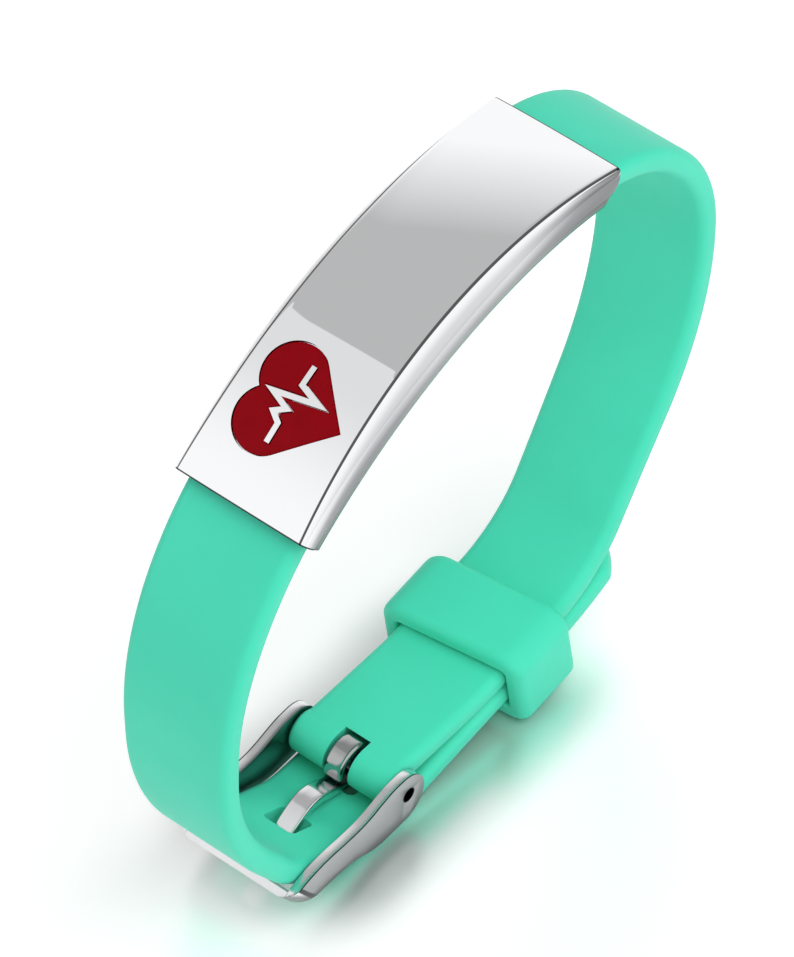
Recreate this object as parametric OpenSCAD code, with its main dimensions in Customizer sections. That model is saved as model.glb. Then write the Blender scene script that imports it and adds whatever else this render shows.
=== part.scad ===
// Medical alert bracelet: a moulded silicone strap on a pin buckle, with a curved steel identity plate.
// Millimetres. X runs along the clasp, Y across the strap, Z up. The bracelet stands on its clasp at Z = 0.

/* [Strap] */
// Width of the strap under the plate
strap_w = 12; // [11:0.1:13]
// How much narrower its two ends are, where they pass through the buckle
taper = 1.1; // [0:0.1:2]
// Thickness of the strap
strap_t = 2.4; // [2:0.1:2.8]
// Rounding of the strap's long edges
strap_edge = 0.9; // [0.4:0.1:0.9]
// Width of the whole loop, outside
loop_w = 65.6; // [62:0.2:72]
// Height of the strap's loop, from the surface it stands on to its top
loop_h = 60.8; // [58:0.2:66]
// Length of the tail past the keeper
tail_l = 11.4; // [9:0.2:13]
// Wall of the strap's eye round the spring bar
eye_wall = 1.1; // [0.9:0.05:1.3]

/* [Adjusting holes] */
// Length of a hole along the strap
hole_l = 3.2; // [3.1:0.1:4]
// Width of a hole across the strap
hole_w = 3.4; // [3:0.1:5]
// Distance from one hole to the next
hole_pitch = 9; // [8:0.5:10]
// How many holes the tail has
hole_count = 3; // [1:1:3]

/* [Identity plate] */
// Length of the plate, measured along its curved face
plate_l = 44.6; // [34:0.2:44.8]
// Radius of each rolled side
plate_side_r = 2.6; // [2.3:0.1:4]
// Thickness of the steel
plate_t = 0.8; // [0.6:0.05:1]
// Width of the lip that is folded under the strap on each side
lip_w = 3.4; // [2.6:0.1:4.4]
// Room between the strap's edge and the steel beside it
side_room = 0.6; // [0.5:0.05:1]

/* [Emblem] */
// Width of the heart, along the plate
emblem_w = 10.4; // [7:0.2:11]
// Distance from the plate's lower end to the middle of the heart
emblem_from_end = 9.4; // [8:0.2:24]
// Depth of the recess that holds the enamel
emblem_depth = 0.4; // [0.3:0.05:0.5]
// How far the enamel lies below the steel face
enamel_below = 0.08; // [0.05:0.01:0.15]
// Width of the raised pulse line
pulse_w = 0.5; // [0.3:0.05:0.7]

/* [Buckle] */
// Distance along the clasp from the spring bar to the front bar
buckle_l = 14.7; // [14.4:0.1:14.9]
// Thickness of an arm
arm_t = 1; // [0.6:0.05:1.2]
// Height of an arm at the spring bar
arm_h = 5.5; // [5:0.1:5.6]
// Thickness of the front bar
front_bar_t = 0.8; // [0.6:0.05:1]
// Width of the front bar's section
front_bar_w = 2.2; // [1.8:0.1:2.4]
// Radius of the frame's outer corners
frame_corner = 1.9; // [1.2:0.1:2.6]
// Radius of the spring bar
spring_bar_r = 0.9; // [0.75:0.05:1]
// Radius of the spring bar's thin ends
spring_tip_r = 0.6; // [0.4:0.05:0.65]
// Thickness of the tongue
tongue_t = 0.85; // [0.6:0.05:0.9]
// Width of the tongue
tongue_w = 2; // [1.6:0.1:2.4]

/* [Keeper] */
// Length of the keeper along the strap
keeper_l = 7.4; // [5:0.2:8]
// Wall of the keeper above and below the strap
keeper_t = 2; // [1.8:0.1:2.2]
// Wall of the keeper beside the strap
keeper_side_t = 1.7; // [1.2:0.1:2]
// Rounding of the keeper's outer corners
keeper_round = 1.9; // [1:0.1:2.2]

/* [Fit] */
// Gap between pieces that lie on each other
gap = 0.15; // [0.12:0.01:0.2]

/* [Hidden] */
$fn = 64;

STRAP_COLOR = "#4fd6b4";
STEEL_COLOR = "#d9dadd";
ENAMEL_COLOR = "#8a0610";

// How far a cutter reaches past what it cuts
past = 2;
half_w = loop_w / 2 - strap_t / 2;
mid_h = loop_h - strap_t / 2;
layer_step = strap_t + gap;

// The strap's width sets the width of its ends and of the plate over its rolled sides
clasp_w = strap_w - taper;
plate_w = strap_w + 2 * (side_room + plate_t);

function heading(a) = [cos(a), sin(a)];
function left_of(a) = [-sin(a), cos(a)];
function cross2(a, b) = a.x * b.y - a.y * b.x;
function sum_to(list, n) = n <= 0 ? 0 : list[n - 1] + sum_to(list, n - 1);

// The eye at the strap's buckle end stands a little proud of the strap. The tail passes below it.
eye_r = spring_bar_r + gap + eye_wall;
eye_bulge = 0.1;
eye_edge = 0.5;
pin = [-0.302 * loop_w / 2, strap_t + gap + eye_r];
buckle_strap_z = pin.y + eye_r - eye_bulge - strap_t / 2;

// Both layers pass through the keeper at this angle, and its lower edge rests on the surface
clasp_tilt = 9;
keeper_in_h = strap_t + layer_step + 2 * gap;
keeper_in_w = clasp_w + 2 * gap;
keeper_h = keeper_in_h + 2 * keeper_t;
keeper_mid = [0.235 * loop_w / 2, keeper_h / 2 * cos(clasp_tilt) + keeper_l / 2 * sin(clasp_tilt)];
keeper_strap = keeper_mid + left_of(clasp_tilt) * layer_step / 2;
keeper_tail = keeper_mid - left_of(clasp_tilt) * layer_step / 2;

// Straight guide lines of the strap's middle line, each a point and a heading in degrees.
// The strap runs along them in this order, from the eye round the loop to the tail.
GUIDES = [
    // x, z, heading
    [pin.x, buckle_strap_z, 0],
    [keeper_strap.x, keeper_strap.y, clasp_tilt],
    [0.7 * half_w, 0.26 * mid_h, 57],
    [half_w, 0, 90],
    [0.535 * half_w, 0.98 * mid_h, 166.5],
    [-0.712 * half_w, 0.8 * mid_h, 223.6],
    [-half_w, 0, 270],
    [-0.85 * half_w, 0.17 * mid_h, 305],
    [-0.765 * half_w, 0.0935 * mid_h, 335],
    [0, strap_t / 2, 360],
    [keeper_tail.x, keeper_tail.y, 360 + clasp_tilt],
];
// Radius of the bend from each guide line to the next, as a share of half the loop's height
BENDS = [0.5, 0.41, 1.1, 0.585, 1.4, 0.93, 0.85, 0.3, 0.25, 0.3];
PLATE_BEND = 4;
HOLE_BEND = 7;

function meet(g, h) =
    let (u = heading(g[2]), v = heading(h[2]), d = [h[0] - g[0], h[1] - g[1]])
    [g[0], g[1]] + u * cross2(d, v) / cross2(u, v);

// One row for each bend: where it starts, its heading there, its radius and the angle it turns
function bend(i) =
    let (a = GUIDES[i][2], turn = GUIDES[i + 1][2] - a, r = BENDS[i] * loop_h / 2)
    [meet(GUIDES[i], GUIDES[i + 1]) - heading(a) * r * tan(turn / 2), a, r, turn];
bends = [for (i = [0:len(BENDS) - 1]) bend(i)];
function bend_mid(b) = b[0] + left_of(b[1]) * b[2];
function bend_end(b) = bend_mid(b) - left_of(b[1] + b[3]) * b[2];

// The whole path as rows of a straight and the bend after it: start, heading, length, bend.
// Past the keeper the tail curls up a little.
function run(from, b) = [from, b[1], norm(b[0] - from), b];
tail_from = bend_end(bends[len(bends) - 1]);
tail_straight = norm(keeper_tail - tail_from) + keeper_l / 2;
tail_curl_r = 1.05 * loop_h / 2;
tail_bend = [
    tail_from + heading(clasp_tilt) * tail_straight,
    360 + clasp_tilt,
    tail_curl_r,
    tail_l / tail_curl_r * 180 / PI,
];
runs = [
    for (i = [0:len(bends) - 1]) run(i == 0 ? [pin.x, buckle_strap_z] : bend_end(bends[i - 1]), bends[i]),
    run(tail_from, tail_bend),
];
lengths = [for (r = runs) r[2] + r[3][2] * r[3][3] * PI / 180];
strap_l = sum_to(lengths, len(lengths));

// The point and the heading at a distance s along the path
function place(s, i = 0) =
    s > lengths[i] && i < len(runs) - 1 ? place(s - lengths[i], i + 1) :
    let (r = runs[i], b = r[3], t = s - r[2])
    t < 0 ? [r[0] + heading(r[1]) * s, r[1]] :
    let (a = b[1] + t / b[2] * 180 / PI)
    [bend_mid(b) - left_of(a) * b[2], a];

// Half the strap's width: narrow below, wide at the plate's height, and round at the tail's end
tail_end_l = 0.44 * clasp_w;
tail_end_r = 0.56 * clasp_w;
tail_end_flat = 0.15;
function ease(t) = let (u = min(max(t, 0), 1)) u * u * (3 - 2 * u);
function half_at(s) =
    let (z = place(s)[0].y / loop_h, wide = clasp_w + (strap_w - clasp_w) * ease((z - 0.15) / 0.6))
    let (past_round = max(tail_end_r - (strap_l - s) - tail_end_flat, 0))
    strap_l - s > tail_end_l ? wide / 2 : min(wide / 2, sqrt(pow(tail_end_r, 2) - pow(past_round, 2)));

// Where the sweep has a section: at each end of a straight, every few degrees of a bend,
// and closely in the round end
STEP_TURN = 5.5;
END_STEPS = 7;
stations = [
    for (i = [0:len(runs) - 1])
        let (at = sum_to(lengths, i), n = ceil(runs[i][3][3] / STEP_TURN), bent = lengths[i] - runs[i][2])
        each [at, for (k = [0:n - 1]) at + runs[i][2] + bent * k / n],
];
end_stations = [for (k = [0:END_STEPS]) strap_l - tail_end_l * pow(1 - k / END_STEPS, 2)];
sweep_at = [each [for (s = stations) if (s < strap_l - 1.1 * tail_end_l) s], each end_stations];

// The hole in use is in the middle of the slope behind the front bar
hole_at = sum_to(lengths, HOLE_BEND + 1) + runs[HOLE_BEND + 1][2] / 2;
hole = place(hole_at);
hole_corner = 0.6;

// The plate rides on the bend under it
plate_mid = bend_mid(bends[PLATE_BEND]);
plate_r = bends[PLATE_BEND][2] + strap_t / 2 + gap + plate_t;
plate_arc = plate_l / plate_r * 180 / PI;
plate_from = bends[PLATE_BEND][1] - 90;
slot_h = strap_t + 2 * gap;
plate_h = slot_h + 2 * plate_t;

// The heart stands across the plate and is as wide as 1.707 sides of the square in it
emblem_at = plate_from + plate_arc - emblem_from_end / plate_r * 180 / PI;
heart_side = emblem_w / (1 + sqrt(2) / 2);
enamel_gap = 0.04;
// The pulse line: x along it and y across it, in shares of the heart's side
PULSE = [
    [-0.6, 0.1], [-0.3, 0.1], [-0.19, 0.26], [-0.08, 0.1], [0.04, 0.42], [0.18, -0.26], [0.3, 0.1], [0.6, 0.1],
];

// Buckle
arm_in = clasp_w / 2 + gap;
frame_half = arm_in + arm_t;
front_turn = GUIDES[HOLE_BEND][2];
front_off = bends[HOLE_BEND][2] + strap_t / 2 + gap + front_bar_t / 2;
front_line = bend_mid(bends[HOLE_BEND]) - left_of(front_turn) * front_off;
front_bar = front_line + heading(front_turn) * (pin.x - buckle_l - front_line.x) / cos(front_turn);
// Corners round an arm's side view, as x and z from the pin: the outline is rounded off within them
front = front_bar - pin;
ARM = [
    front + [-0.4, 0.4] * front_bar_w,
    front + [0.35, 0.8] * front_bar_w,
    front + [1.7, 1] * front_bar_w,
    [-0.545 * buckle_l, 0.22 * arm_h],
    [-0.375 * buckle_l, 0.235 * arm_h],
    [-0.54 * arm_h, 0.38 * arm_h],
    [-0.3 * arm_h, 0.425 * arm_h],
    [0.1 * arm_h, 0.425 * arm_h],
    [0.38 * arm_h, 0.145 * arm_h],
    [0.38 * arm_h, -0.25 * arm_h],
    [0.1 * arm_h, -0.535 * arm_h],
    [-0.3 * arm_h, -0.55 * arm_h],
    [-0.83 * arm_h, -0.575 * arm_h],
    [-0.505 * buckle_l, -0.345 * arm_h],
    front + [1.85, -0.45] * front_bar_w,
    front + [0.95, -0.48] * front_bar_w,
    front + [-0.1, -0.53] * front_bar_w,
];
ROUNDINGS = 3;
arm_bore_r = spring_tip_r + 0.1;
spring_half = arm_in - gap;
spring_end = frame_half - 0.45 * arm_t;

// The tongue's curl hangs loosely on the spring bar, and its blade goes down through the hole
curl_loose = 0.5;
tongue_play = 0.8;
curl_in = spring_bar_r + curl_loose;
curl_out = curl_in + tongue_t;
curl = pin - [curl_loose - gap, 0];
notch_w = tongue_w + tongue_play;
notch_r = curl_out + 2 * gap;
tip_gap = 0.2;
front_low = front_bar.y - front_bar_w / 2 * abs(sin(front_turn)) - front_bar_t / 2 * abs(cos(front_turn));
TONGUE = [
    curl + heading(210) * (curl_in + tongue_t / 2),
    hole[0] + [1.74, 0.25] * hole_l,
    hole[0] + [1.18, 0.42] * hole_l,
    hole[0] + [0.71, 0.39] * hole_l,
    hole[0],
    hole[0] - [0.51, 0.36] * hole_l,
    [front_bar.x + 0.3 * front_bar_w, front_low - tip_gap - tongue_t / 2],
];

// A band of width w along a row of points, with mitred corners
function side(P, i, d) =
    let (a = P[i] - P[max(i - 1, 0)], b = P[min(i + 1, len(P) - 1)] - P[i])
    let (u = norm(a) > 0 ? a / norm(a) : b / norm(b), v = norm(b) > 0 ? b / norm(b) : a / norm(a))
    let (n = [-u.y - v.y, u.x + v.x])
    P[i] + n / (n * n) * 2 * d;
function band(P, w) = concat(
    [for (i = [0:len(P) - 1]) side(P, i, w / 2)],
    [for (i = [len(P) - 1:-1:0]) side(P, i, -w / 2)]
);

module round_rect(w, h, r) {
    square([w - 2 * r, h], center = true);
    square([w, h - 2 * r], center = true);
    for (x = [-1, 1], y = [-1, 1])
        translate([x * (w / 2 - r), y * (h / 2 - r)]) circle(r);
}

// Each corner of a closed outline cut off at a quarter of its sides, several times over
function cut_corners(P) = [
    for (i = [0:len(P) - 1]) let (q = P[(i + 1) % len(P)])
        each [0.75 * P[i] + 0.25 * q, 0.25 * P[i] + 0.75 * q],
];
function soften(P, times) = times == 0 ? P : soften(cut_corners(P), times - 1);

// Puts what is drawn at the origin at a point of the side view, turned to a heading
module at(p, way = 0) {
    translate([p.x, 0, p.y]) rotate([0, -way, 0]) children();
}

// A side view drawn in X and Z, made w wide across Y
module across(w) {
    rotate([90, 0, 0]) linear_extrude(w, center = true) children();
}

// A section, drawn as thickness and width, run straight from the origin
module along(l) {
    rotate([0, 90, 0]) linear_extrude(l) children();
}

// A section swept round a circle of the side view
module around(mid, from, turn) {
    at(mid) rotate([90, 0, 0]) rotate_extrude(angle = turn, start = from, $fn = 180) children();
}

// The strap's section round its edge, as distance inwards from the middle line and place across
CORNER_STEPS = 4;
function section(half) = [
    for (q = [[1, 1], [-1, 1], [-1, -1], [1, -1]], k = [0:CORNER_STEPS])
        let (a = 90 * k / CORNER_STEPS, turned = q.x * q.y > 0 ? a : 90 - a)
        [
            q.x * (strap_t / 2 - strap_edge + strap_edge * cos(turned)),
            q.y * (half - strap_edge + strap_edge * sin(turned)),
        ],
];
module strap_sweep() {
    rings = [for (s = sweep_at) let (here = place(s), side = left_of(here[1]))
        [for (q = section(half_at(s))) [here[0].x + side.x * q.x, q.y, here[0].y + side.y * q.x]]];
    n = len(rings[0]);
    last = len(rings) - 1;
    polyhedron([for (r = rings) each r], [
        [for (j = [n - 1:-1:0]) j],
        [for (j = [0:n - 1]) last * n + j],
        for (i = [0:last - 1], j = [0:n - 1])
            let (a = i * n + j, b = i * n + (j + 1) % n)
            each [[a, b, a + n], [b, b + n, a + n]],
    ]);
}

module eye() {
    at(pin) rotate([90, 0, 0]) rotate_extrude() intersection() {
        round_rect(2 * eye_r, clasp_w + eye_bulge, eye_edge);
        translate([0, -strap_w]) square([eye_r, 2 * strap_w]);
    }
}

module holes() {
    for (i = [0:hole_count - 1]) {
        here = place(hole_at + i * hole_pitch);
        at(here[0], here[1]) translate([0, 0, -strap_t]) linear_extrude(2 * strap_t)
            round_rect(hole_l, hole_w, hole_corner);
    }
}

module strap() {
    color(STRAP_COLOR) difference() {
        union() {
            strap_sweep();
            eye();
        }
        holes();
        // The bore for the spring bar and the notch for the tongue
        at(pin) across(strap_w + 2 * past) circle(spring_bar_r + gap);
        intersection() {
            at(curl) across(notch_w) {
                circle(notch_r);
                translate([-2 * eye_r, -eye_r]) square([2 * eye_r, 3 * eye_r]);
            }
            translate([-loop_w / 2, -strap_w / 2, strap_t + gap / 2])
                cube([loop_w / 2, strap_w, loop_h / 2]);
        }
    }
}

// A flat band with a rolled side of radius r at each end, w wide in all and h high
module rolled(w, h, r) {
    intersection() {
        square([h, w], center = true);
        union() {
            square([h, w - 2 * r], center = true);
            for (y = [-1, 1]) translate([0, y * (w / 2 - r)]) circle(r);
        }
    }
}

module plate_section() {
    difference() {
        rolled(plate_w, plate_h, plate_side_r);
        rolled(plate_w - 2 * plate_t, slot_h, plate_side_r - plate_t);
        translate([-plate_h, lip_w - plate_w / 2]) square([plate_h, plate_w - 2 * lip_w]);
    }
}

// A flat shape raised through the plate's steel at the emblem, between two depths below its face
module in_plate(low, high) {
    intersection() {
        at(plate_mid, emblem_at - 90) linear_extrude(plate_r + past) children();
        at(plate_mid) across(plate_w) difference() {
            circle(plate_r - high, $fn = 360);
            circle(plate_r - low, $fn = 360);
        }
    }
}

module heart(a) {
    rotate(45) square(a, center = true);
    for (x = [-1, 1]) translate([x, 1] * a * sqrt(2) / 4) circle(a / 2);
}

// The heart is a little higher than it is deep below its middle, so it is moved to the plate's centreline
module heart_here(a) {
    translate([0, -heart_side * 0.07]) heart(a);
}

module pulse(w) {
    polygon(band(PULSE * heart_side, w));
}

module id_plate() {
    color(STEEL_COLOR) difference() {
        around(plate_mid, plate_from, plate_arc) translate([plate_r - plate_h / 2, 0]) plate_section();
        in_plate(emblem_depth, -past) difference() {
            heart_here(heart_side);
            pulse(pulse_w);
        }
    }
}

module emblem_enamel() {
    color(ENAMEL_COLOR) in_plate(emblem_depth - enamel_gap, enamel_below) difference() {
        heart_here(heart_side - 2 * enamel_gap);
        pulse(pulse_w + 2 * enamel_gap);
    }
}

// The arms and the front bar are cut from broader ones by a block with rounded corners,
// which lies square to the front bar
module buckle_frame() {
    color(STEEL_COLOR) difference() {
        intersection() {
            union() {
                for (y = [-1, 1]) translate([0, y * (arm_in + past / 2), 0])
                    at(pin) across(past) polygon(soften(ARM, ROUNDINGS));
                at(front_bar, front_turn)
                    cube([front_bar_w, 2 * arm_in + past, front_bar_t], center = true);
            }
            at(front_bar, front_turn) translate([-loop_w / 2, 0, 0])
                along(loop_w) translate([front_bar_t / 2 - loop_w / 2, 0])
                    round_rect(loop_w, 2 * frame_half, frame_corner);
        }
        at(pin) across(2 * frame_half + past) circle(arm_bore_r);
    }
}

module spring_bar() {
    color(STEEL_COLOR) at(pin) {
        across(2 * spring_half) circle(spring_bar_r);
        across(2 * spring_end) circle(spring_tip_r);
    }
}

module tongue() {
    color(STEEL_COLOR) {
        at(curl) across(tongue_w) difference() {
            circle(curl_out);
            circle(curl_in);
        }
        across(tongue_w) polygon(band(TONGUE, tongue_t));
    }
}

module keeper() {
    color(STRAP_COLOR) at(keeper_mid, clasp_tilt) translate([-keeper_l / 2, 0, 0])
        along(keeper_l) difference() {
            round_rect(keeper_h, keeper_in_w + 2 * keeper_side_t, keeper_round);
            round_rect(keeper_in_h, keeper_in_w, strap_edge / 2);
        }
}

strap();
id_plate();
emblem_enamel();
buckle_frame();
spring_bar();
tongue();
keeper();
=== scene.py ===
from math import asin, atan2, cos, degrees, pi, radians, sin, sqrt, tan

import bmesh
import bpy
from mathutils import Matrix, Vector


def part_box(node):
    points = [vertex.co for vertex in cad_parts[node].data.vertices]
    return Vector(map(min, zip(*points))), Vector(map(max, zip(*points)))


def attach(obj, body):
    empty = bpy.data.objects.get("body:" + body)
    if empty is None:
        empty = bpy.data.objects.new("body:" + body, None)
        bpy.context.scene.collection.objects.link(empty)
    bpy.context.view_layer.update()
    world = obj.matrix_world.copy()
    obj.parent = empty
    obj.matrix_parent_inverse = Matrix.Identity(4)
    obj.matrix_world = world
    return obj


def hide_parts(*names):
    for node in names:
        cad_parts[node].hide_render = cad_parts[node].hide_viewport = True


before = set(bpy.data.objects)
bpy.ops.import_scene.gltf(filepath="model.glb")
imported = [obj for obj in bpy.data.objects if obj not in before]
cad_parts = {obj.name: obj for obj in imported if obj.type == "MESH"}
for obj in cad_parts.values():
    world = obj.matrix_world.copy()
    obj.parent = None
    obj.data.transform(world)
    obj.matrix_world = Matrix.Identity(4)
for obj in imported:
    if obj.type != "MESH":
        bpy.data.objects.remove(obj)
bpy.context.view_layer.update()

# Strap
# One moulded band of mint silicone. Its buckle end is looped round the spring bar,
# it runs up round the wrist and back, and its tail lies under the buckle end with
# three adjusting holes in it. Sizes in millimetres.
MM = 0.001
STRAP_T, STRAP_EDGE = 2.4, 0.9
STRAP_W, TAPER = 12.0, 1.1
CLASP_W = STRAP_W - TAPER
LOOP_W, LOOP_H = 65.6, 60.8
HALF_W, MID_H = LOOP_W / 2 - STRAP_T / 2, LOOP_H - STRAP_T / 2
GAP = 0.15
BAR_R = 0.9
EYE_WALL, EYE_EDGE = 1.1, 0.5
EYE_R = BAR_R + GAP + EYE_WALL
TAIL_L = 11.4
# Where the spring bar and the keeper are along the clasp, as shares of half the loop's width
BAR_SHARE, KEEPER_SHARE = -0.302, 0.235
PIN = Vector((BAR_SHARE * LOOP_W / 2, STRAP_T + GAP + EYE_R))
LAYER_STEP = STRAP_T + GAP
CLASP_TILT = 9
KEEPER_L, KEEPER_T, KEEPER_SIDE = 7.4, 2.0, 1.7
KEEPER_IN_H, KEEPER_IN_W = STRAP_T + LAYER_STEP + 2 * GAP, CLASP_W + 2 * GAP
KEEPER_H = KEEPER_IN_H + 2 * KEEPER_T


def heading(a):
    """The direction at this angle from the clasp's, in the side view."""
    return Vector((cos(radians(a)), sin(radians(a))))


def left_of(a):
    """The direction square to that heading, to its left."""
    return Vector((-sin(radians(a)), cos(radians(a))))


KEEPER_RISE = KEEPER_H / 2 * cos(radians(CLASP_TILT)) + KEEPER_L / 2 * sin(radians(CLASP_TILT))
KEEPER_MID = Vector((KEEPER_SHARE * LOOP_W / 2, KEEPER_RISE))
KEEPER_STRAP = KEEPER_MID + left_of(CLASP_TILT) * LAYER_STEP / 2
KEEPER_TAIL = KEEPER_MID - left_of(CLASP_TILT) * LAYER_STEP / 2
# The band starts over the spring bar, with its top this much below the eye's
START_DROP = 0.1
START = Vector((PIN.x, PIN.y + EYE_R - START_DROP - STRAP_T / 2))

# The strap's middle line follows these straight lines in turn: a point on each and its heading
GUIDES = [
    (START, 0),
    (KEEPER_STRAP, CLASP_TILT),
    (Vector((0.7 * HALF_W, 0.26 * MID_H)), 57),
    (Vector((HALF_W, 0)), 90),
    (Vector((0.535 * HALF_W, 0.98 * MID_H)), 166.5),
    (Vector((-0.712 * HALF_W, 0.8 * MID_H)), 223.6),
    (Vector((-HALF_W, 0)), 270),
    (Vector((-0.85 * HALF_W, 0.17 * MID_H)), 305),
    (Vector((-0.765 * HALF_W, 0.0935 * MID_H)), 335),
    (Vector((0, STRAP_T / 2)), 360),
    (KEEPER_TAIL, 360 + CLASP_TILT),
]
# Radius of the bend from each line to the next, as a share of half the loop's height
BENDS = [0.5, 0.41, 1.1, 0.585, 1.4, 0.93, 0.85, 0.3, 0.25, 0.3]
PLATE_BEND, HOLE_BEND = 4, 7


def bend(i):
    """The bend from one of these lines to the next."""
    (p, a), (q, b) = GUIDES[i], GUIDES[i + 1]
    u, v = heading(a), heading(b)
    corner = p + u * ((q - p).cross(v) / u.cross(v))
    r = BENDS[i] * LOOP_H / 2
    start = corner - u * r * tan(radians((b - a) / 2))
    middle = start + left_of(a) * r
    return {"start": start, "from": a, "r": r, "turn": b - a, "mid": middle, "end": middle - left_of(b) * r}


bends = [bend(i) for i in range(len(BENDS))]
runs = []
at = START
for b in bends:
    runs.append((at, (b["start"] - at).length, b))
    at = b["end"]
tail_straight = (KEEPER_TAIL - at).length + KEEPER_L / 2
TAIL_CURL_R = 1.05 * LOOP_H / 2
tail_start = at + heading(CLASP_TILT) * tail_straight
tail_turn = degrees(TAIL_L / TAIL_CURL_R)
runs.append((at, tail_straight, {
    "start": tail_start, "from": 360 + CLASP_TILT, "r": TAIL_CURL_R, "turn": tail_turn,
    "mid": tail_start + left_of(CLASP_TILT) * TAIL_CURL_R,
}))
lengths = [straight + b["r"] * radians(b["turn"]) for at, straight, b in runs]
strap_l = sum(lengths)


def place(s):
    """The point and the heading at a distance s along the strap's middle line."""
    for length, (at, straight, b) in zip(lengths, runs):
        if s <= length or b is runs[-1][2]:
            break
        s -= length
    if s < straight:
        return at + heading(b["from"]) * s, b["from"]
    a = b["from"] + degrees((s - straight) / b["r"])
    return b["mid"] - left_of(a) * b["r"], a


def ease(t):
    t = min(max(t, 0), 1)
    return t * t * (3 - 2 * t)


# The tail's rounded end: its length, its radius and the flat at its very tip
TAIL_END_L, TAIL_END_R, TAIL_END_FLAT = 0.44 * CLASP_W, 0.56 * CLASP_W, 0.15
# Between these shares of the loop's height the strap widens from the clasp's width to the plate's
TAPER_FROM, TAPER_TO = 0.15, 0.75


def strap_half(s):
    """Half the strap's width: narrow below, wide at the plate, round at the tail's end."""
    height = place(s)[0].y / LOOP_H
    wide = CLASP_W + TAPER * ease((height - TAPER_FROM) / (TAPER_TO - TAPER_FROM))
    left = strap_l - s
    if left > TAIL_END_L:
        return wide / 2
    over = max(TAIL_END_R - left - TAIL_END_FLAT, 0)
    return min(wide / 2, sqrt(TAIL_END_R ** 2 - over ** 2))


def strap_thick(s):
    """Half the strap's thickness, less at the tail's very end, where its edge is rounded over."""
    left = strap_l - s
    if left >= STRAP_EDGE:
        return STRAP_T / 2
    return STRAP_T / 2 - STRAP_EDGE + sqrt(max(STRAP_EDGE ** 2 - (STRAP_EDGE - left) ** 2, 0))


def round_box(across, wide, r, steps, flats=1, low_r=None):
    """A rectangle from its half sizes, with rounded corners, low_r the radius of those at -across,
    with this many steps to a corner and flats to each long side."""
    points = []
    high_r, low_r = r, low_r or r
    for sx, sy in ((1, 1), (-1, 1), (-1, -1), (1, -1)):
        r = high_r if sx > 0 else low_r
        for k in range(steps + 1):
            a = pi / 2 * k / steps
            a = a if sx * sy > 0 else pi / 2 - a
            points.append((sx * (across - r + r * cos(a)), sy * (wide - r + r * sin(a))))
        if sy == 1 and sx == -1 or sy == -1 and sx == 1:
            x, y = points[-1]
            points += [(x, y - 2 * y * k / flats) for k in range(1, flats)]
    return points


def smooth(mesh, limit):
    """Smooth shading, with a sharp edge wherever two faces turn by more than limit degrees."""
    work = bmesh.new()
    work.from_mesh(mesh)
    bmesh.ops.recalc_face_normals(work, faces=work.faces)
    for f in work.faces:
        f.smooth = True
    for e in work.edges:
        e.smooth = len(e.link_faces) == 2 and e.calc_face_angle() < radians(limit)
    work.to_mesh(mesh)
    work.free()
    return mesh


def loft(name, rings, joined=False):
    """A closed skin over rings of points in millimetres, joined end to end or capped."""
    n, count = len(rings[0]), len(rings)
    faces = []
    for i in range(count if joined else count - 1):
        for j in range(n):
            a, b = i * n, (i + 1) % count * n
            faces.append((a + j, a + (j + 1) % n, b + (j + 1) % n, b + j))
    if not joined:
        faces += [tuple(range(n)), tuple(range((count - 1) * n, count * n))]
    mesh = bpy.data.meshes.new(name)
    mesh.from_pydata([Vector(p) * MM for ring in rings for p in ring], [], faces)
    return smooth(mesh, 40)


def carve(mesh, *cutters, operation="DIFFERENCE"):
    """The mesh after one Boolean with each cutter in turn."""
    for cutter in cutters:
        body, tool = (bpy.data.objects.new(m.name, m) for m in (mesh, cutter))
        for o in (body, tool):
            bpy.context.scene.collection.objects.link(o)
        step = body.modifiers.new("carve", "BOOLEAN")
        step.operation, step.solver, step.object = operation, "EXACT", tool
        seen = body.evaluated_get(bpy.context.evaluated_depsgraph_get())
        mesh = bpy.data.meshes.new_from_object(seen)
        for o in (body, tool):
            bpy.data.objects.remove(o)
    return mesh


def in_side_view(p, turn, u, y, w):
    """A point that lies u along and w above a heading from p, both in the side view, at y across."""
    q = p + heading(turn) * u + left_of(turn) * w
    return q.x, y, q.y


HOLE_L, HOLE_W, HOLE_PITCH, HOLE_COUNT = 3.2, 3.4, 9.0, 3
HOLE_CORNER, HOLE_FLARE = 0.6, 0.12
# How far the cutter stands past the strap's face, and how much it has spread by there
CUT_PAST, CUT_SPREAD = 0.5, 0.9


def hole_cutter(p, turn):
    """A cutter for an adjusting hole at p: rounded corners, and a rim that opens towards both faces."""
    face = STRAP_T / 2
    angles = [pi / 2 * k / 7 for k in range(7)]
    upper = [(face - HOLE_FLARE + HOLE_FLARE * sin(a), HOLE_FLARE * (1 - cos(a))) for a in angles]
    upper.append((face + CUT_PAST, HOLE_FLARE + CUT_SPREAD))
    rings = []
    for z, out in [(-z, out) for z, out in reversed(upper)] + upper:
        ring = round_box(HOLE_L / 2 + out, HOLE_W / 2 + out, HOLE_CORNER + out, 8)
        rings.append([in_side_view(p, turn, u, y, z) for u, y in ring])
    return loft("cutter", rings)


def barrel(name, p, profile, steps=72):
    """A turned shape about a line across the bracelet at p. The profile gives y and radius."""
    angles = [2 * pi * k / steps for k in range(steps)]
    return loft(name, [[(p.x + r * cos(a), y, p.y + r * sin(a)) for a in angles] for y, r in profile])


def round_profile(half, r, edge, steps=6):
    """A turned profile from one end to the other, with rounded rims."""
    angles = [pi / 2 * k / steps for k in range(steps + 1)]
    end = [(half - edge + edge * cos(a), r - edge + edge * sin(a)) for a in angles]
    return end + [(-y, r) for y, r in reversed(end)]


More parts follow.
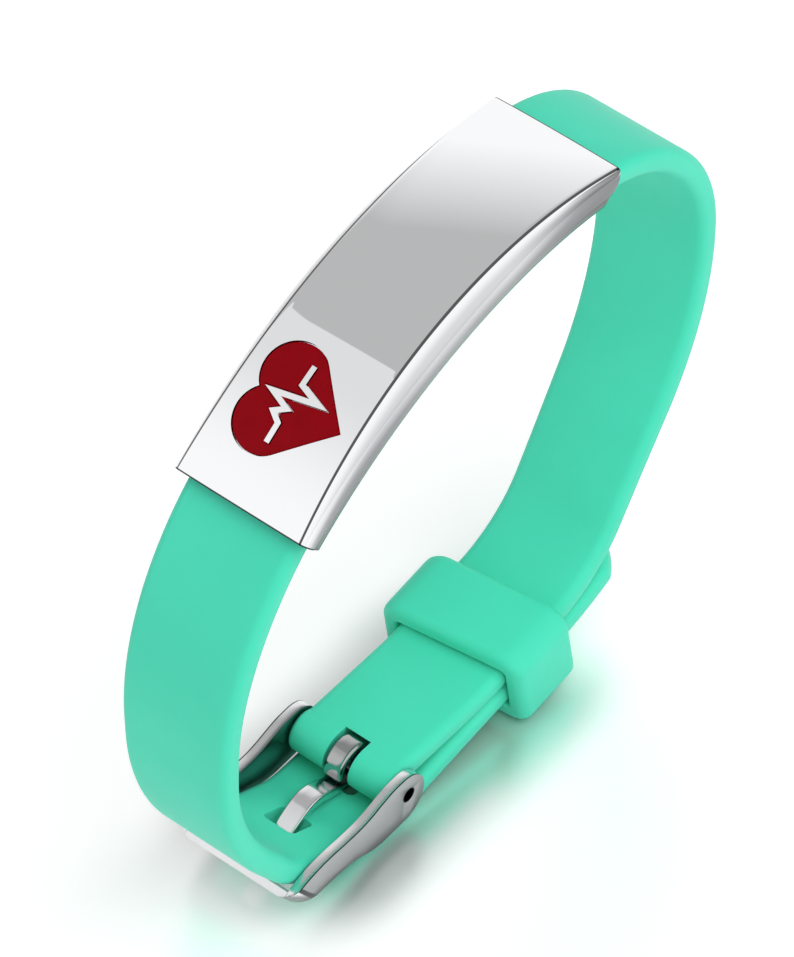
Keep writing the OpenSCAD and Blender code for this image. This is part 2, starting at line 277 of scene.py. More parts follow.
# Stations along the band, closer together at the tail's tip, where the last ring keeps a little area
BAND_STEPS, TIP_STEPS, TIP_CUT = 520, 28, 0.004
stations = [strap_l * k / BAND_STEPS for k in range(BAND_STEPS)]
stations = [s for s in stations if s < strap_l - TAIL_END_L]
stations += [strap_l - TAIL_END_L * (1 - k / TIP_STEPS) ** 2 for k in range(TIP_STEPS)]
stations.append(strap_l - TIP_CUT)
LEAST_FLAT = 0.01
rings = []
for s in stations:
    p, turn = place(s)
    half, thick = strap_half(s), strap_thick(s)
    ring = round_box(thick, half, min(STRAP_EDGE, thick - LEAST_FLAT), 7, 5)
    rings.append([in_side_view(p, turn, 0, y, w) for w, y in ring])
strap_mesh = loft("strap_band", rings)
# The eye is a hair wider than the band and lies a hair inside its CAD form
EYE_PROUD, EYE_SUNK = 0.05, 0.09
eye = barrel("eye", PIN, round_profile(CLASP_W / 2 + EYE_PROUD, EYE_R - EYE_SUNK, EYE_EDGE))
strap_mesh = carve(strap_mesh, eye, operation="UNION")
PAST_SIDES = 8
cutters = [barrel("bore", PIN, [(PAST_SIDES, BAR_R + GAP), (-PAST_SIDES, BAR_R + GAP)])]
hole_at = sum(lengths[:HOLE_BEND + 1]) + runs[HOLE_BEND + 1][1] / 2
cutters += [hole_cutter(*place(hole_at + i * HOLE_PITCH)) for i in range(HOLE_COUNT)]
# The notch is round about the tongue's curl, which is slack on the bar, and open towards the front
TONGUE_T, TONGUE_W = 0.85, 2.0
CURL_SLACK, NOTCH_SIDE, NOTCH_STEPS = 0.5, 0.4, 30
CURL = PIN - Vector((CURL_SLACK - GAP, 0))
CURL_OUT = BAR_R + CURL_SLACK + TONGUE_T
NOTCH_HALF, NOTCH_R, NOTCH_LOW = TONGUE_W / 2 + NOTCH_SIDE, CURL_OUT + 2 * GAP, STRAP_T + GAP / 2
low_angle = asin((CURL.y - NOTCH_LOW) / NOTCH_R)
angles = [-low_angle + (low_angle + pi / 2) * k / NOTCH_STEPS for k in range(NOTCH_STEPS + 1)]
notch = [CURL + Vector((cos(a), sin(a))) * NOTCH_R for a in angles]
notch += [CURL + Vector((0, 2 * EYE_R)), CURL + Vector((-2 * EYE_R, 2 * EYE_R)),
          Vector((CURL.x - 2 * EYE_R, NOTCH_LOW))]
cutters.append(loft("notch", [[(q.x, y, q.y) for q in notch] for y in (NOTCH_HALF, -NOTCH_HALF)]))
strap_mesh = smooth(carve(strap_mesh, *cutters), 24)


class Shade:
    """A shader socket that can stand in a sum, and that makes other nodes beside it."""

    def __init__(self, socket):
        self.socket = socket

    def node(self, kind, settings=(), inputs=(), output=0):
        tree = self.socket.id_data
        made = tree.nodes.new("ShaderNode" + kind)
        for name, value in dict(settings).items():
            if name == "stops":
                ramp = made.color_ramp
                while len(ramp.elements) < len(value):
                    ramp.elements.new(1)
                for stop, (at, colour) in zip(ramp.elements, value):
                    stop.position, stop.color = at, colour
            else:
                setattr(made, name, value)
        for name, value in dict(inputs).items():
            if isinstance(value, Shade):
                tree.links.new(value.socket, made.inputs[name])
            else:
                made.inputs[name].default_value = value
        return Shade(made.outputs[output])

    def math(self, operation, *others):
        return self.node("Math", {"operation": operation}, dict(enumerate((self, *others))))

    def __add__(self, other):
        return self.math("ADD", other)

    def __sub__(self, other):
        return self.math("SUBTRACT", other)

    def __rsub__(self, other):
        return self.node("Math", {"operation": "SUBTRACT"}, {0: other, 1: self})

    def __mul__(self, other):
        return self.math("MULTIPLY", other)

    def __truediv__(self, other):
        return self.math("DIVIDE", other)

    def __gt__(self, other):
        return self.math("GREATER_THAN", other)

    __radd__, __rmul__ = __add__, __mul__

    def clear_of(self, low, high):
        """0 below low and 1 above high, with a soft change between them."""
        return self.node("MapRange", {"interpolation_type": "SMOOTHSTEP"},
                         {"Value": self, "From Min": low, "From Max": high})

    def noise(self, scale, detail=2.0, stretch=(1, 1, 1)):
        """Soft noise over a place, scale in features to a millimetre."""
        moved = self.node("VectorMath", {"operation": "MULTIPLY"}, {0: self, 1: stretch})
        return moved.node("TexNoise", {}, {"Vector": moved, "Scale": scale, "Detail": detail})

    def tint(self, low, high):
        """The colour between low and high at this share."""
        return self.node("Mix", {"data_type": "RGBA"}, {0: self, 6: (*low, 1), 7: (*high, 1)}, 2)

    def bump(self, depth):
        """A normal from this height, depth in millimetres."""
        return self.node("Bump", {}, {"Height": self, "Distance": depth * MM, "Strength": 1.0})

    def feed(self, finish, name):
        self.socket.id_data.links.new(self.socket, finish.node_tree.nodes["Principled BSDF"].inputs[name])


def finish(name, **fixed):
    """A material with these fixed values, and the place of a point on the piece in millimetres."""
    made = bpy.data.materials.new(name)
    made.use_nodes = True
    shader = made.node_tree.nodes["Principled BSDF"]
    for key, value in fixed.items():
        shader.inputs[key.replace("_", " ")].default_value = value
    here = Shade(shader.inputs[0]).node("TexCoord", output="Object")
    return made, here.node("VectorMath", {"operation": "SCALE"}, {0: here, "Scale": 1 / MM})


def parts_of(place_mm):
    """The x, y and z of a place."""
    return [place_mm.node("SeparateXYZ", {}, {0: place_mm}, output=k) for k in range(3)]


def mint_silicone(name):
    """Satin mint silicone: soft broad cloudiness and a very fine moulded grain."""
    made, where = finish(name, Sheen_Weight=0.04, Sheen_Roughness=0.45, Specular_IOR_Level=0.22,
                         Subsurface_Weight=0.25, Subsurface_Radius=(0.4, 1.0, 0.8), Subsurface_Scale=0.9 * MM)
    cloud = where.noise(0.11, 3)
    cloud.tint((0.056, 0.63, 0.425), (0.07, 0.69, 0.48)).feed(made, "Base Color")
    grain = where.noise(7, 4)
    (0.4 + 0.12 * where.noise(0.35, 4) + 0.05 * grain).feed(made, "Roughness")
    grain.bump(0.006).feed(made, "Normal")
    return made


def piece(name, mesh, made_of, node):
    """A finished piece on the bracelet, in place of its CAD node."""
    mesh.materials.clear()
    mesh.materials.append(made_of)
    made = bpy.data.objects.new(name, mesh)
    bpy.context.scene.collection.objects.link(made)
    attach(made, "root")
    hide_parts(node)
    return made


silicone = mint_silicone("mint_silicone")
piece("strap_band", strap_mesh, silicone, "strap")

# Keeper
# A separate loop of the same silicone round both layers of the strap, moulded with
# thick walls and soft rounded edges. It is pushed on and sits a little askew.
KEEPER_ROUND, KEEPER_LOW_ROUND = 2.4, 1.3
KEEPER_RIM, KEEPER_INNER_RIM = 1.0, 0.35
KEEPER_SKEW = 0.115
outer = round_box(KEEPER_H / 2, KEEPER_IN_W / 2 + KEEPER_SIDE, KEEPER_ROUND, 10, 12, KEEPER_LOW_ROUND)
inner = round_box(KEEPER_IN_H / 2, KEEPER_IN_W / 2, STRAP_EDGE / 2, 10, 12)
half_l = KEEPER_L / 2
# The wall's section: place along the keeper, whether it is on the inner side, and depth below that side
wall = []
angles = [pi / 2 * k / 7 for k in range(8)]
for inside, end in ((0, 1), (1, 1), (1, -1), (0, -1)):
    r = KEEPER_INNER_RIM if inside else KEEPER_RIM
    arc = [(half_l - r + r * sin(a), r - r * cos(a)) for a in angles]
    wall += [(end * u, inside, d) for u, d in (arc if inside != (end == 1) else arc[::-1])]
rings = []
for (ow, oy), (iw, iy) in zip(outer, inner):
    out_p, in_p = Vector((ow, oy)), Vector((iw, iy))
    inward = (in_p - out_p).normalized()
    ring = []
    for u, inside, d in wall:
        w, y = in_p - inward * d if inside else out_p + inward * d
        # The opening is askew along the strap, and the outside is askew level with the surface it stands on
        askew = KEEPER_SKEW * y
        qx, qy, qz = in_side_view(KEEPER_MID, CLASP_TILT, u - askew * inside, y, w)
        ring.append((qx - askew * (1 - inside), qy, qz))
    rings.append(ring)
piece("keeper_loop", loft("keeper_loop", rings, joined=True), silicone, "keeper")

# Identity plate
# Polished stainless sheet, 0.8 mm thick, curved to the wrist. Its long sides are rolled
# down and folded in under the strap, and the ends of the rolled sides are cut round.
plate_bend = bends[PLATE_BEND]
PLATE_MID = plate_bend["mid"]
PLATE_T, PLATE_L, PLATE_W, SIDE_R, LIP_W = 0.8, 44.6, 14.8, 2.6, 3.4
PLATE_R = plate_bend["r"] + STRAP_T / 2 + GAP + PLATE_T
PLATE_H = STRAP_T + 2 * GAP + 2 * PLATE_T
PLATE_FROM = plate_bend["from"] - 90
PLATE_ARC = degrees(PLATE_L / PLATE_R)
# A small round between the flat face and the rolled side, and how far round the side it reaches, in radians
EDGE_ROUND, EDGE_REACH = 0.3, 0.09
# The face is narrower in the middle of the plate and wider at its ends, where the sides bulge less
WAIST, END_FLARE, END_SLIM = -0.31, 0.34, -0.42
# The face is very slightly crowned, this much lower at its long edges
CROWN = 0.08


def round_over(*points):
    """Points on a small round that starts at the first point, cuts the second off and ends at the third."""
    a, b, c = map(Vector, points)
    return [tuple(a * (1 - t) ** 2 + b * 2 * t * (1 - t) + c * t * t) for t in (0.2, 0.4, 0.6, 0.8)]


def sheet_line(h, r, lip_y, soft):
    """Half the sheet's section from the middle to the lip, as place across and height from mid-height."""
    y_mid = PLATE_W / 2 - SIDE_R
    top = asin(h / r)
    y_edge = y_mid + r * cos(top)
    y_flat = y_edge - soft
    angles = [(top - EDGE_REACH) * (1 - k / 11) for k in range(23)]
    side = [(y_mid + r * cos(a), r * sin(a)) for a in angles]
    line = [(y_edge * k / 12, h) for k in range(12)] + [(y_flat, h)]
    line += round_over((y_flat, h), (y_edge, h), side[0]) + side
    line += round_over(side[-1], (y_edge, -h), (y_flat, -h))
    return line + [(y_flat - (y_flat - lip_y) * k / 4, -h) for k in range(5)]


outer_half = sheet_line(PLATE_H / 2, SIDE_R, PLATE_W / 2 - LIP_W, EDGE_ROUND)
inner_half = sheet_line(PLATE_H / 2 - PLATE_T, SIDE_R - PLATE_T, PLATE_W / 2 - LIP_W, EDGE_ROUND / 2)
outer_line = [(-y, h) for y, h in outer_half[:0:-1]] + outer_half
inner_line = [(-y, h) for y, h in inner_half[:0:-1]] + inner_half
section = outer_line + inner_line[::-1]
n_line = len(outer_line)
# The rolled sides' right ends slant back down to this depth, and all four are rounded from that depth on
END_SLANT, SLANT_DEPTH = 1.5, 2.6
CORNER_DEPTH, CORNER_R = 3.1, 1.0


def cut_back(y, h, right):
    """How far the rolled side's end is cut back here: little at the emblem's end, slanting at the other."""
    depth = PLATE_H / 2 - h
    if abs(y) < PLATE_W / 2 - LIP_W and h > 0:
        return 0
    slant = END_SLANT * min(depth, SLANT_DEPTH) / SLANT_DEPTH if right else 0
    corner = min(max(depth - CORNER_DEPTH, 0), CORNER_R)
    return slant + CORNER_R - sqrt(CORNER_R ** 2 - corner ** 2)


def shaped(y, h, share):
    """A point of the section as it is at this share of the plate, from -1 at the right end to 1."""
    edge = PLATE_W / 2 - SIDE_R + sqrt(SIDE_R ** 2 - (PLATE_H / 2) ** 2)
    out = WAIST + (END_FLARE - WAIST) * share ** 2
    if abs(y) < edge and h > 0:
        return y * (1 + out / edge), h - CROWN * (y / edge) ** 2
    high = max(h, 0) / (PLATE_H / 2)
    slim = END_SLIM * share ** 2 * (1 - high)
    return y + (1 if y > 0 else -1) * (out * high + slim), h - CROWN * high


plate_points = []
PLATE_STEPS = 110
for i in range(PLATE_STEPS + 1):
    share = 2 * i / PLATE_STEPS - 1
    for k, (y, h) in enumerate(section):
        oy, oh = outer_line[k] if k < n_line else outer_line[2 * n_line - 1 - k]
        reach = PLATE_ARC / 2 - degrees(cut_back(oy, oh, share < 0) / PLATE_R)
        a = PLATE_FROM + PLATE_ARC / 2 + share * reach
        y, h = shaped(y, h, share)
        q = PLATE_MID + heading(a) * (PLATE_R - PLATE_H / 2 + h)
        plate_points.append(Vector((q.x, y, q.y)) * MM)
n = len(section)
faces = [(i * n + j, i * n + (j + 1) % n, (i + 1) * n + (j + 1) % n, (i + 1) * n + j)
         for i in range(PLATE_STEPS) for j in range(n)]
for base in (0, PLATE_STEPS * n):
    faces += [(base + j, base + j + 1, base + n - 2 - j, base + n - 1 - j) for j in range(n_line - 1)]
plate_mesh = bpy.data.meshes.new("plate_shell")
plate_mesh.from_pydata(plate_points, [], faces)
smooth(plate_mesh, 40)


def rounded(mesh, width, steps=3, limit=50):
    """The mesh with its sharp edges rounded over, width in millimetres."""
    body = bpy.data.objects.new(mesh.name, mesh)
    bpy.context.scene.collection.objects.link(body)
    step = body.modifiers.new("round", "BEVEL")
    step.limit_method, step.angle_limit = "ANGLE", radians(limit)
    step.width, step.segments = width * MM, steps
    seen = body.evaluated_get(bpy.context.evaluated_depsgraph_get())
    mesh = bpy.data.meshes.new_from_object(seen)
    bpy.data.objects.remove(body)
    return mesh


SHEET_EDGE = 0.13
plate_mesh = rounded(plate_mesh, SHEET_EDGE)
# A heart is sunk into the face near the plate's lower end, and a pulse line is left standing in it
HEART_W, HEART_FROM_END, HEART_DEPTH = 10.4, 9.4, 0.4
HEART_SIDE = HEART_W / (1 + sqrt(2) / 2)
HEART_AT = PLATE_FROM + PLATE_ARC - degrees(HEART_FROM_END / PLATE_R)
PULSE_W = 0.5
# The pulse line's points, and how far the heart's square is set down from them, in shares of its side
PULSE = [(-0.6, 0.1), (-0.3, 0.1), (-0.19, 0.26), (-0.08, 0.1),
         (0.04, 0.42), (0.18, -0.26), (0.3, 0.1), (0.6, 0.1)]
HEART_DROP = 0.07


def heart_line(side, steps=24):
    """A heart's outline: a square on its corner with a half circle on each upper side."""
    low = HEART_SIDE * HEART_DROP
    line = []
    for x, first in ((1, -45), (-1, 45)):
        mid = Vector((x * side * sqrt(2) / 4, side * sqrt(2) / 4 - low))
        for k in range(steps + 1):
            a = radians(first + 180 * k / steps)
            line.append(mid + Vector((cos(a), sin(a))) * side / 2)
    tip = Vector((0, -side * sqrt(2) / 2 - low))
    walk = [line[-1] + (tip - line[-1]) * k / 12 for k in range(1, 13)]
    walk += [tip + (line[0] - tip) * k / 12 for k in range(1, 12)]
    return line + walk


def pulse_line(w):
    """The outline of the pulse line, w wide, with mitred corners and short steps."""
    P = [Vector(p) * HEART_SIDE for p in PULSE]
    sides = []
    for d in (w / 2, -w / 2):
        row = []
        for i, p in enumerate(P):
            a = (p - P[i - 1]).normalized() if i else (P[1] - p).normalized()
            b = (P[i + 1] - p).normalized() if i < len(P) - 1 else a
            n = Vector((-a.y - b.y, a.x + b.x))
            row.append(p + n / n.length_squared * 2 * d)
        sides.append(row)
    return sides[0] + sides[1][::-1]


BEND_STEP = 0.4


def flat_shape(outlines, low, high, edge):
    """A flat shape with holes, raised from low to high on the plate and bent to its curve. Millimetres."""
    line = bpy.data.curves.new("outline", "CURVE")
    line.dimensions, line.fill_mode = "2D", "BOTH"
    line.extrude, line.offset = (high - low) / 2 - edge, -edge
    line.bevel_depth, line.bevel_resolution = edge, 2
    for points in outlines:
        spline = line.splines.new("POLY")
        spline.points.add(len(points) - 1)
        for q, p in zip(spline.points, points):
            q.co = (p.x, p.y, 0, 1)
        spline.use_cyclic_u = True
    body = bpy.data.objects.new("outline", line)
    bpy.context.scene.collection.objects.link(body)
    mesh = bpy.data.meshes.new_from_object(body.evaluated_get(bpy.context.evaluated_depsgraph_get()))
    bpy.data.objects.remove(body)
    work = bmesh.new()
    work.from_mesh(mesh)
    bmesh.ops.remove_doubles(work, verts=work.verts, dist=1e-5)
    for k in range(round(HEART_W / BEND_STEP)):
        bmesh.ops.bisect_plane(work, geom=work.verts[:] + work.edges[:] + work.faces[:],
                               plane_co=(k * BEND_STEP - HEART_W / 2, 0, 0), plane_no=(1, 0, 0), dist=1e-6)
    for v in work.verts:
        a = HEART_AT - degrees(v.co.x / PLATE_R)
        q = PLATE_MID + heading(a) * (PLATE_R + v.co.z + (low + high) / 2)
        v.co = Vector((q.x, v.co.y, q.y)) * MM
    work.to_mesh(mesh)
    work.free()
    return smooth(mesh, 30)


CUT_ABOVE = 0.6
recess = flat_shape([heart_line(HEART_SIDE), pulse_line(PULSE_W)], -HEART_DEPTH, CUT_ABOVE, 0)
plate_mesh = smooth(carve(plate_mesh, recess), 25)


def polished(name):
    """Polished stainless steel, the place of a point on it, and the haze that its finish wanders with."""
    made, where = finish(name, Metallic=1.0)
    return made, where, where.noise(0.25, 3)


def steel_colour(painted_dark, bright, grey):
    """Steel that is bright where the painted darkness is 0, grey where it is 1 and nearly black where it is
    2; the darkness is painted shade and painted reflection.
    """
    stops = [(0, (*bright, 1)), (0.5, (*grey, 1)), (1, (0.03, 0.035, 0.035, 1))]
    return painted_dark.node("ValToRGB", {"stops": stops}, {0: painted_dark * 0.5})


plate_steel, where, haze = polished("mirror_steel")
x, y, z = parts_of(where)
x, z = x - PLATE_MID.x, z - PLATE_MID.y
depth = PLATE_R - (x * x + z * z).math("SQRT")
turned = z.math("ARCTAN2", x) - radians(PLATE_FROM)
from_right = turned * PLATE_R
from_left = PLATE_L - from_right
# Painted shade and painted reflection: the rolled side is painted darker lower down and towards both ends of
# the plate, and a dark line of painted shadow runs along the cut ends
right_end = 1 - from_right.clear_of(1, 16)
left_end = 1 - from_left.clear_of(4, 22)
painted_end_shadow = 1 - from_right.math("MINIMUM", from_left).clear_of(0.08, 0.17)
painted_dark = 0.4 * depth.clear_of(0.2, 0.8) + 0.6 * depth.clear_of(0.8, 2.5)
painted_dark = painted_dark + 0.8 * right_end * depth.clear_of(0.2, 0.6) + 0.4 * left_end * depth.clear_of(0.7, 1.3)
painted_dark = painted_dark + 2 * painted_end_shadow
steel_colour(painted_dark, (0.88, 0.885, 0.895), (0.29, 0.295, 0.305)).feed(plate_steel, "Base Color")
(0.012 + 0.02 * haze + 0.2 * depth.clear_of(1.0, 2.4)).feed(plate_steel, "Roughness")
piece("plate_shell", plate_mesh, plate_steel, "id_plate")

# Enamel heart
# Deep red enamel, poured into the heart that is sunk into the plate and polished off a hair
# below the steel. It leaves the plate's pulse line bare.
ENAMEL_BELOW, ENAMEL_GAP, ENAMEL_EDGE = 0.08, 0.04, 0.12
enamel_mesh = flat_shape([heart_line(HEART_SIDE - 2 * ENAMEL_GAP), pulse_line(PULSE_W + 2 * ENAMEL_GAP)],
                         -HEART_DEPTH + ENAMEL_GAP, -ENAMEL_BELOW, ENAMEL_EDGE)
red_enamel, where = finish("red_enamel", Specular_IOR_Level=0.06)
where.noise(0.6, 3).tint((0.19, 0.0, 0.002), (0.26, 0.0, 0.005)).feed(red_enamel, "Base Color")
(0.12 + 0.1 * where.noise(1.1, 3)).feed(red_enamel, "Roughness")
where.noise(0.7, 2).bump(0.02).feed(red_enamel, "Normal")
piece("heart_enamel", enamel_mesh, red_enamel, "emblem_enamel")

# Buckle frame
# A U of polished steel: two arms that drop from the spring bar to a thin front bar,
# with their rims chamfered and a bore in each arm for the spring bar's tip.
# Facets of the CAD's mesh that meet almost flat are joined before its edges are rounded
work = bmesh.new()
work.from_mesh(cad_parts["buckle_frame"].data)
bmesh.ops.remove_doubles(work, verts=work.verts, dist=2e-6)
bmesh.ops.dissolve_limit(work, angle_limit=radians(1.5), verts=work.verts, edges=work.edges)
frame_mesh = bpy.data.meshes.new("buckle_loop")
work.to_mesh(frame_mesh)
work.free()
FRAME_EDGE = 0.16
frame_mesh = smooth(rounded(frame_mesh, FRAME_EDGE, 2, 35), 35)
frame_steel, where, haze = polished("frame_steel")
x, across, z = parts_of(where)
across = across.math("ABSOLUTE")
ARM_T, TIP_R = 1.0, 0.6
ARM_IN = CLASP_W / 2 + GAP
ARM_OUT = ARM_IN + ARM_T
BORE_R = TIP_R + GAP
# Painted shade and painted reflection: the arms are painted darker on both faces and on their undersides, and
# dark along the chamfer and in the bore, with a little random tone from the haze
flat_side = across.clear_of(ARM_OUT - 0.03, ARM_OUT - 0.005)
inner_side = 1 - (across - ARM_IN).math("ABSOLUTE").clear_of(0.005, 0.03)
facing = parts_of(where.node("NewGeometry", output=1))[2]
under = 1 - facing.clear_of(-0.35, -0.05)
chamfer = across.clear_of(ARM_OUT - 0.14, ARM_OUT - 0.09) - flat_side
x, z = x - PIN.x, z - PIN.y
bore = 1 - (x * x + z * z).math("SQRT").clear_of(BORE_R - 0.03, BORE_R + 0.05)
painted_dark = flat_side * 0.62 + inner_side * 0.85 + under * 0.8 + chamfer * 1.7 + 2 * bore + 0.1 * haze
steel_colour(painted_dark, (0.78, 0.785, 0.795), (0.17, 0.175, 0.18)).feed(frame_steel, "Base Color")
(0.2 + 0.06 * flat_side + 0.08 * haze).feed(frame_steel, "Roughness")
piece("buckle_loop", frame_mesh, frame_steel, "buckle_frame")

# Spring bar
# A turned steel bar that carries the strap's eye and the tongue's curl. It has a groove near
# each shoulder and a thin tip at each end, which springs into the arms' bores.
BAR_HALF, TIP_HALF = ARM_IN - GAP, ARM_OUT - 0.6
SHOULDER_EDGE, GROOVE_AT, GROOVE_W, GROOVE_D = 0.08, 0.9, 0.26, 0.06
groove_in = BAR_HALF - GROOVE_AT - GROOVE_W
# Half the bar's profile from the tip inwards, as place along the bar and radius
half_bar = [
    (TIP_HALF, TIP_R - 0.15), (TIP_HALF - 0.1, TIP_R - 0.04), (TIP_HALF - 0.18, TIP_R),
    (BAR_HALF + 0.005, TIP_R), (BAR_HALF, TIP_R + 0.02),
    (BAR_HALF, BAR_R - SHOULDER_EDGE), (BAR_HALF - SHOULDER_EDGE, BAR_R),
    (BAR_HALF - GROOVE_AT, BAR_R), (BAR_HALF - GROOVE_AT - GROOVE_D, BAR_R - GROOVE_D),
    (groove_in + GROOVE_D, BAR_R - GROOVE_D), (groove_in, BAR_R),
]
bar_mesh = barrel("spring_pin", PIN, half_bar + [(-y, r) for y, r in reversed(half_bar)])


def handled(where, haze, rough, flaws):
    """A roughness that wanders with the haze, with hairlines from handling."""
    hairs = where.noise(2.2, 2, (0.06, 1, 1)).clear_of(0.62, 0.7)
    hairs = hairs + where.noise(1.7, 2, (1, 0.05, 1)).clear_of(0.64, 0.7)
    return rough + flaws * haze + 0.6 * flaws * hairs


bar_steel, where, haze = polished("bar_steel")
# The bar's tips inside the arms' bores are painted nearly black: painted shade in the bores
across = parts_of(where)[1].math("ABSOLUTE")
across.clear_of(ARM_IN, ARM_IN + 0.1).tint((0.5, 0.5, 0.51), (0.02, 0.02, 0.02)).feed(bar_steel, "Base Color")
handled(where, haze, 0.16, 0.1).feed(bar_steel, "Roughness")
piece("spring_pin", smooth(bar_mesh, 30), bar_steel, "spring_bar")

# Tongue
# A flat steel pin, its end curled loosely round the spring bar and its blade bent down
# through the strap's hole to rest under the front bar.
curl_r = CURL_OUT - TONGUE_T / 2
line = [CURL + heading(a) * curl_r for a in range(196, -90, -6)]
# The blade's points: two below the curl, then some from the middle of the hole, then the tip
blade = [CURL + heading(-90) * curl_r, CURL + Vector((-1.5, -1.66))]
BLADE = [(5.45, 0.7), (3.78, 1.32), (2.27, 1.23), (0, 0), (-1.63, -1.1), (-3.4, -1.3)]
blade += [place(hole_at)[0] + Vector(q) for q in BLADE]
TIP_IN, TIP_LIFT = 0.12, 0.25
tip_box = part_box("tongue")
blade.append(Vector((tip_box[0][0] / MM + TIP_IN, tip_box[0][2] / MM + TONGUE_T / 2 + TIP_LIFT)))


def spline(points, steps):
    """A smooth line through the points."""
    ends = [points[0] * 2 - points[1]] + points + [points[-1] * 2 - points[-2]]
    out = []
    for i in range(1, len(ends) - 2):
        p0, p1, p2, p3 = ends[i - 1:i + 3]
        for k in range(steps):
            t = k / steps
            out.append(0.5 * (2 * p1 + (p2 - p0) * t + (2 * p0 - 5 * p1 + 4 * p2 - p3) * t ** 2
                              + (3 * p1 - p0 - 3 * p2 + p3) * t ** 3))
    return out + [points[-1]]


line += spline(blade, 10)
# Both ends are slimmer over a few steps, and the edges are softer towards the curl
POINT_STEPS, ROOT_STEPS = 10, 2
END_W, END_T = 0.72, 0.8
BLADE_EDGE, CURL_EDGE = 0.17, 0.34
EDGE_FROM, EDGE_OVER = -3.2, 1.2
rings = []
for i, p in enumerate(line):
    way = line[min(i + 1, len(line) - 1)] - line[max(i - 1, 0)]
    turn = degrees(atan2(way.y, way.x))
    left = min((len(line) - 1 - i) / POINT_STEPS, (i + 0.3) / ROOT_STEPS, 1)
    half = TONGUE_W / 2 * (END_W + (1 - END_W) * sqrt(left))
    thick = TONGUE_T / 2 * (END_T + (1 - END_T) * left)
    softer = ease((p.x - CURL.x - EDGE_FROM) / EDGE_OVER) * left
    corner = BLADE_EDGE + (CURL_EDGE - BLADE_EDGE) * softer
    rings.append([in_side_view(p, turn, 0, y, w) for w, y in round_box(thick, half, corner, 5, 4)])
buckle_steel, where, haze = polished("buckle_steel")
handled(where, haze, 0.1, 0.1).feed(buckle_steel, "Roughness")
# The curl is painted darker than the blade: painted shade and painted reflection of the dark notch round it
painted_dark_curl = (parts_of(where)[0] - CURL.x).clear_of(-2.6, -1.9)
painted_dark_curl.tint((0.74, 0.745, 0.755), (0.4, 0.41, 0.41)).feed(buckle_steel, "Base Color")
piece("buckle_pin", loft("buckle_pin", rings), buckle_steel, "tongue")

# Studio
# A plain white sweep, soft light from all round with a grey card behind the bracelet,
# and a long lens at the photograph's angle.
FLOOR, FLOOR_DROP = 1.5, 0.02
floor_mesh = bpy.data.meshes.new("floor")
corners = [(-FLOOR, -FLOOR, 0), (FLOOR, -FLOOR, 0), (FLOOR, FLOOR, 0), (-FLOOR, FLOOR, 0)]
floor_mesh.from_pydata(corners, [], [(0, 1, 2, 3)])
floor = bpy.data.objects.new("floor", floor_mesh)
floor.location.z = -FLOOR_DROP * MM
bpy.context.scene.collection.objects.link(floor)
floor_white, where = finish("floor_white", Roughness=0.3, Base_Color=(0.92, 0.92, 0.92, 1),
                            Emission_Strength=0.3)
# Close to the clasp the floor doesn't glow, which paints a soft shadow round the clasp, and mirrors the strap
# more
x, y = parts_of(where)[:2]
shade_and_mirror_near_clasp = (1 - y.math("ABSOLUTE").clear_of(7.5, 14)) * x.clear_of(-26, -17) * (1 - x.clear_of(8, 18))
shade_and_mirror_near_clasp.tint((1, 1, 1), (0, 0, 0)).feed(floor_white, "Emission Color")
(0.35 + 0.4 * shade_and_mirror_near_clasp).feed(floor_white, "Metallic")
floor_mesh.materials.append(floor_white)

world = bpy.data.worlds.new("studio")
bpy.context.scene.world = world
world.use_nodes = True
sky = world.node_tree.nodes["Background"]
way = Shade(sky.inputs[0]).node("TexCoord", output="Generated")
x, y, z = parts_of(way)
# How far round the bracelet's axis a direction lies: -1 at the left, 0 overhead and 1 at the right
round_y = x / (x * x + z * z).math("SQRT")
behind = y.clear_of(0.2, 0.24)
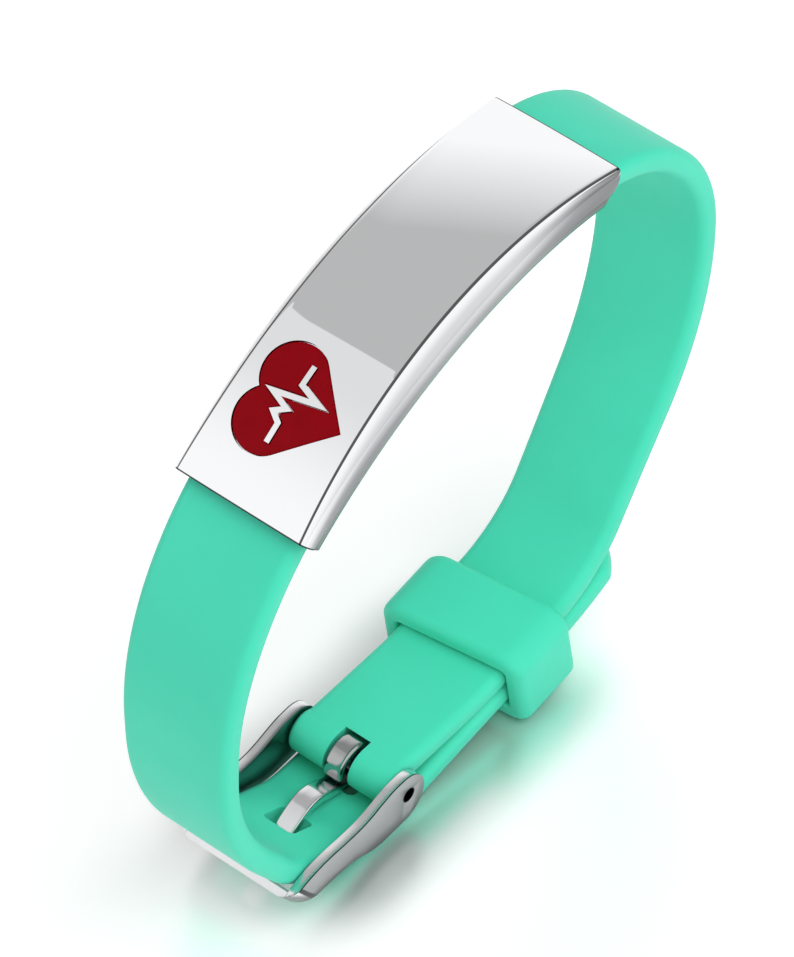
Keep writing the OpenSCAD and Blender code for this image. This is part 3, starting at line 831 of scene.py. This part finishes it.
# A grey card hangs behind to the right of an edge whose two ends are bent, and is paler towards the right
CARD_EDGE, FAR_BEND, NEAR_BEND = -0.182, 0.042, 0.03
edge = round_y - CARD_EDGE - FAR_BEND * y.clear_of(0.47, 0.52) + NEAR_BEND * (1 - y.clear_of(0.34, 0.395))
card = (edge > 0) * behind
CARD_SLANT, CARD_MID = 2.6, 0.4256
slant = round_y + CARD_SLANT * (y.math("MINIMUM", 0.47) - CARD_MID)
shade = slant.node("MapRange", {}, {"Value": slant, "From Min": 0.42, "From Max": 0.92,
                                    "To Min": 0.5, "To Max": 1.08})
# To the left of that edge hangs a pale card that fades out
PALE_DEPTH = 0.235
pale = round_y.clear_of(-0.78, -0.3) * behind * (1 - card)
light = (1 - card * (1 - shade)) * (1 - PALE_DEPTH * pale)
# Black flags: one overhead across the whole set, one low behind and one low at the right
overhead = y.clear_of(-0.27, -0.2) * (1 - y.clear_of(0.2, 0.27)) * z.clear_of(0.25, 0.35)
back = y.clear_of(0.78, 0.84) * (1 - z.clear_of(0.4, 0.5))
side = x.clear_of(0.55, 0.75) * y.clear_of(-0.85, -0.75) * (1 - y.clear_of(0.25, 0.3))
side = side * (1 - z.clear_of(0.48, 0.56))
for flag, depth in ((overhead, 0.9), (back, 0.85), (side, 0.75)):
    light = light * (1 - depth * flag)
world.node_tree.links.new(light.tint((0, 0, 0), (1, 1, 1)).socket, sky.inputs[0])
sky.inputs[1].default_value = 1.07

# A soft light from the front and above, which the steel doesn't mirror
key = bpy.data.lights.new("key", "AREA")
key.shape, key.size, key.energy = "DISK", 0.9, 5.8
key_lamp = bpy.data.objects.new("key", key)
key_lamp.location = (0.05, -0.4, 1.0)
key_lamp.rotation_euler = (Vector((0, 0, 0.03)) - key_lamp.location).to_track_quat("-Z", "Y").to_euler()
key_lamp.visible_glossy = False
bpy.context.scene.collection.objects.link(key_lamp)

# The camera looks along the photograph's turn and rise
TURN, RISE, DISTANCE = radians(50.5), radians(48), 0.6
LOOK_AT = Vector((-3.5, 0, 35.4)) * MM
forward = Vector((sin(TURN) * cos(RISE), cos(TURN) * cos(RISE), -sin(RISE)))
lens = bpy.data.cameras.new("camera")
lens.lens, lens.sensor_width = 268.6, 36
lens.clip_start, lens.clip_end = 0.01, 20
camera = bpy.data.objects.new("camera", lens)
camera.location = LOOK_AT - forward * DISTANCE
camera.rotation_euler = forward.to_track_quat("-Z", "Y").to_euler()
bpy.context.scene.collection.objects.link(camera)
bpy.context.scene.camera = camera
bpy.context.scene.view_settings.view_transform = "Standard"
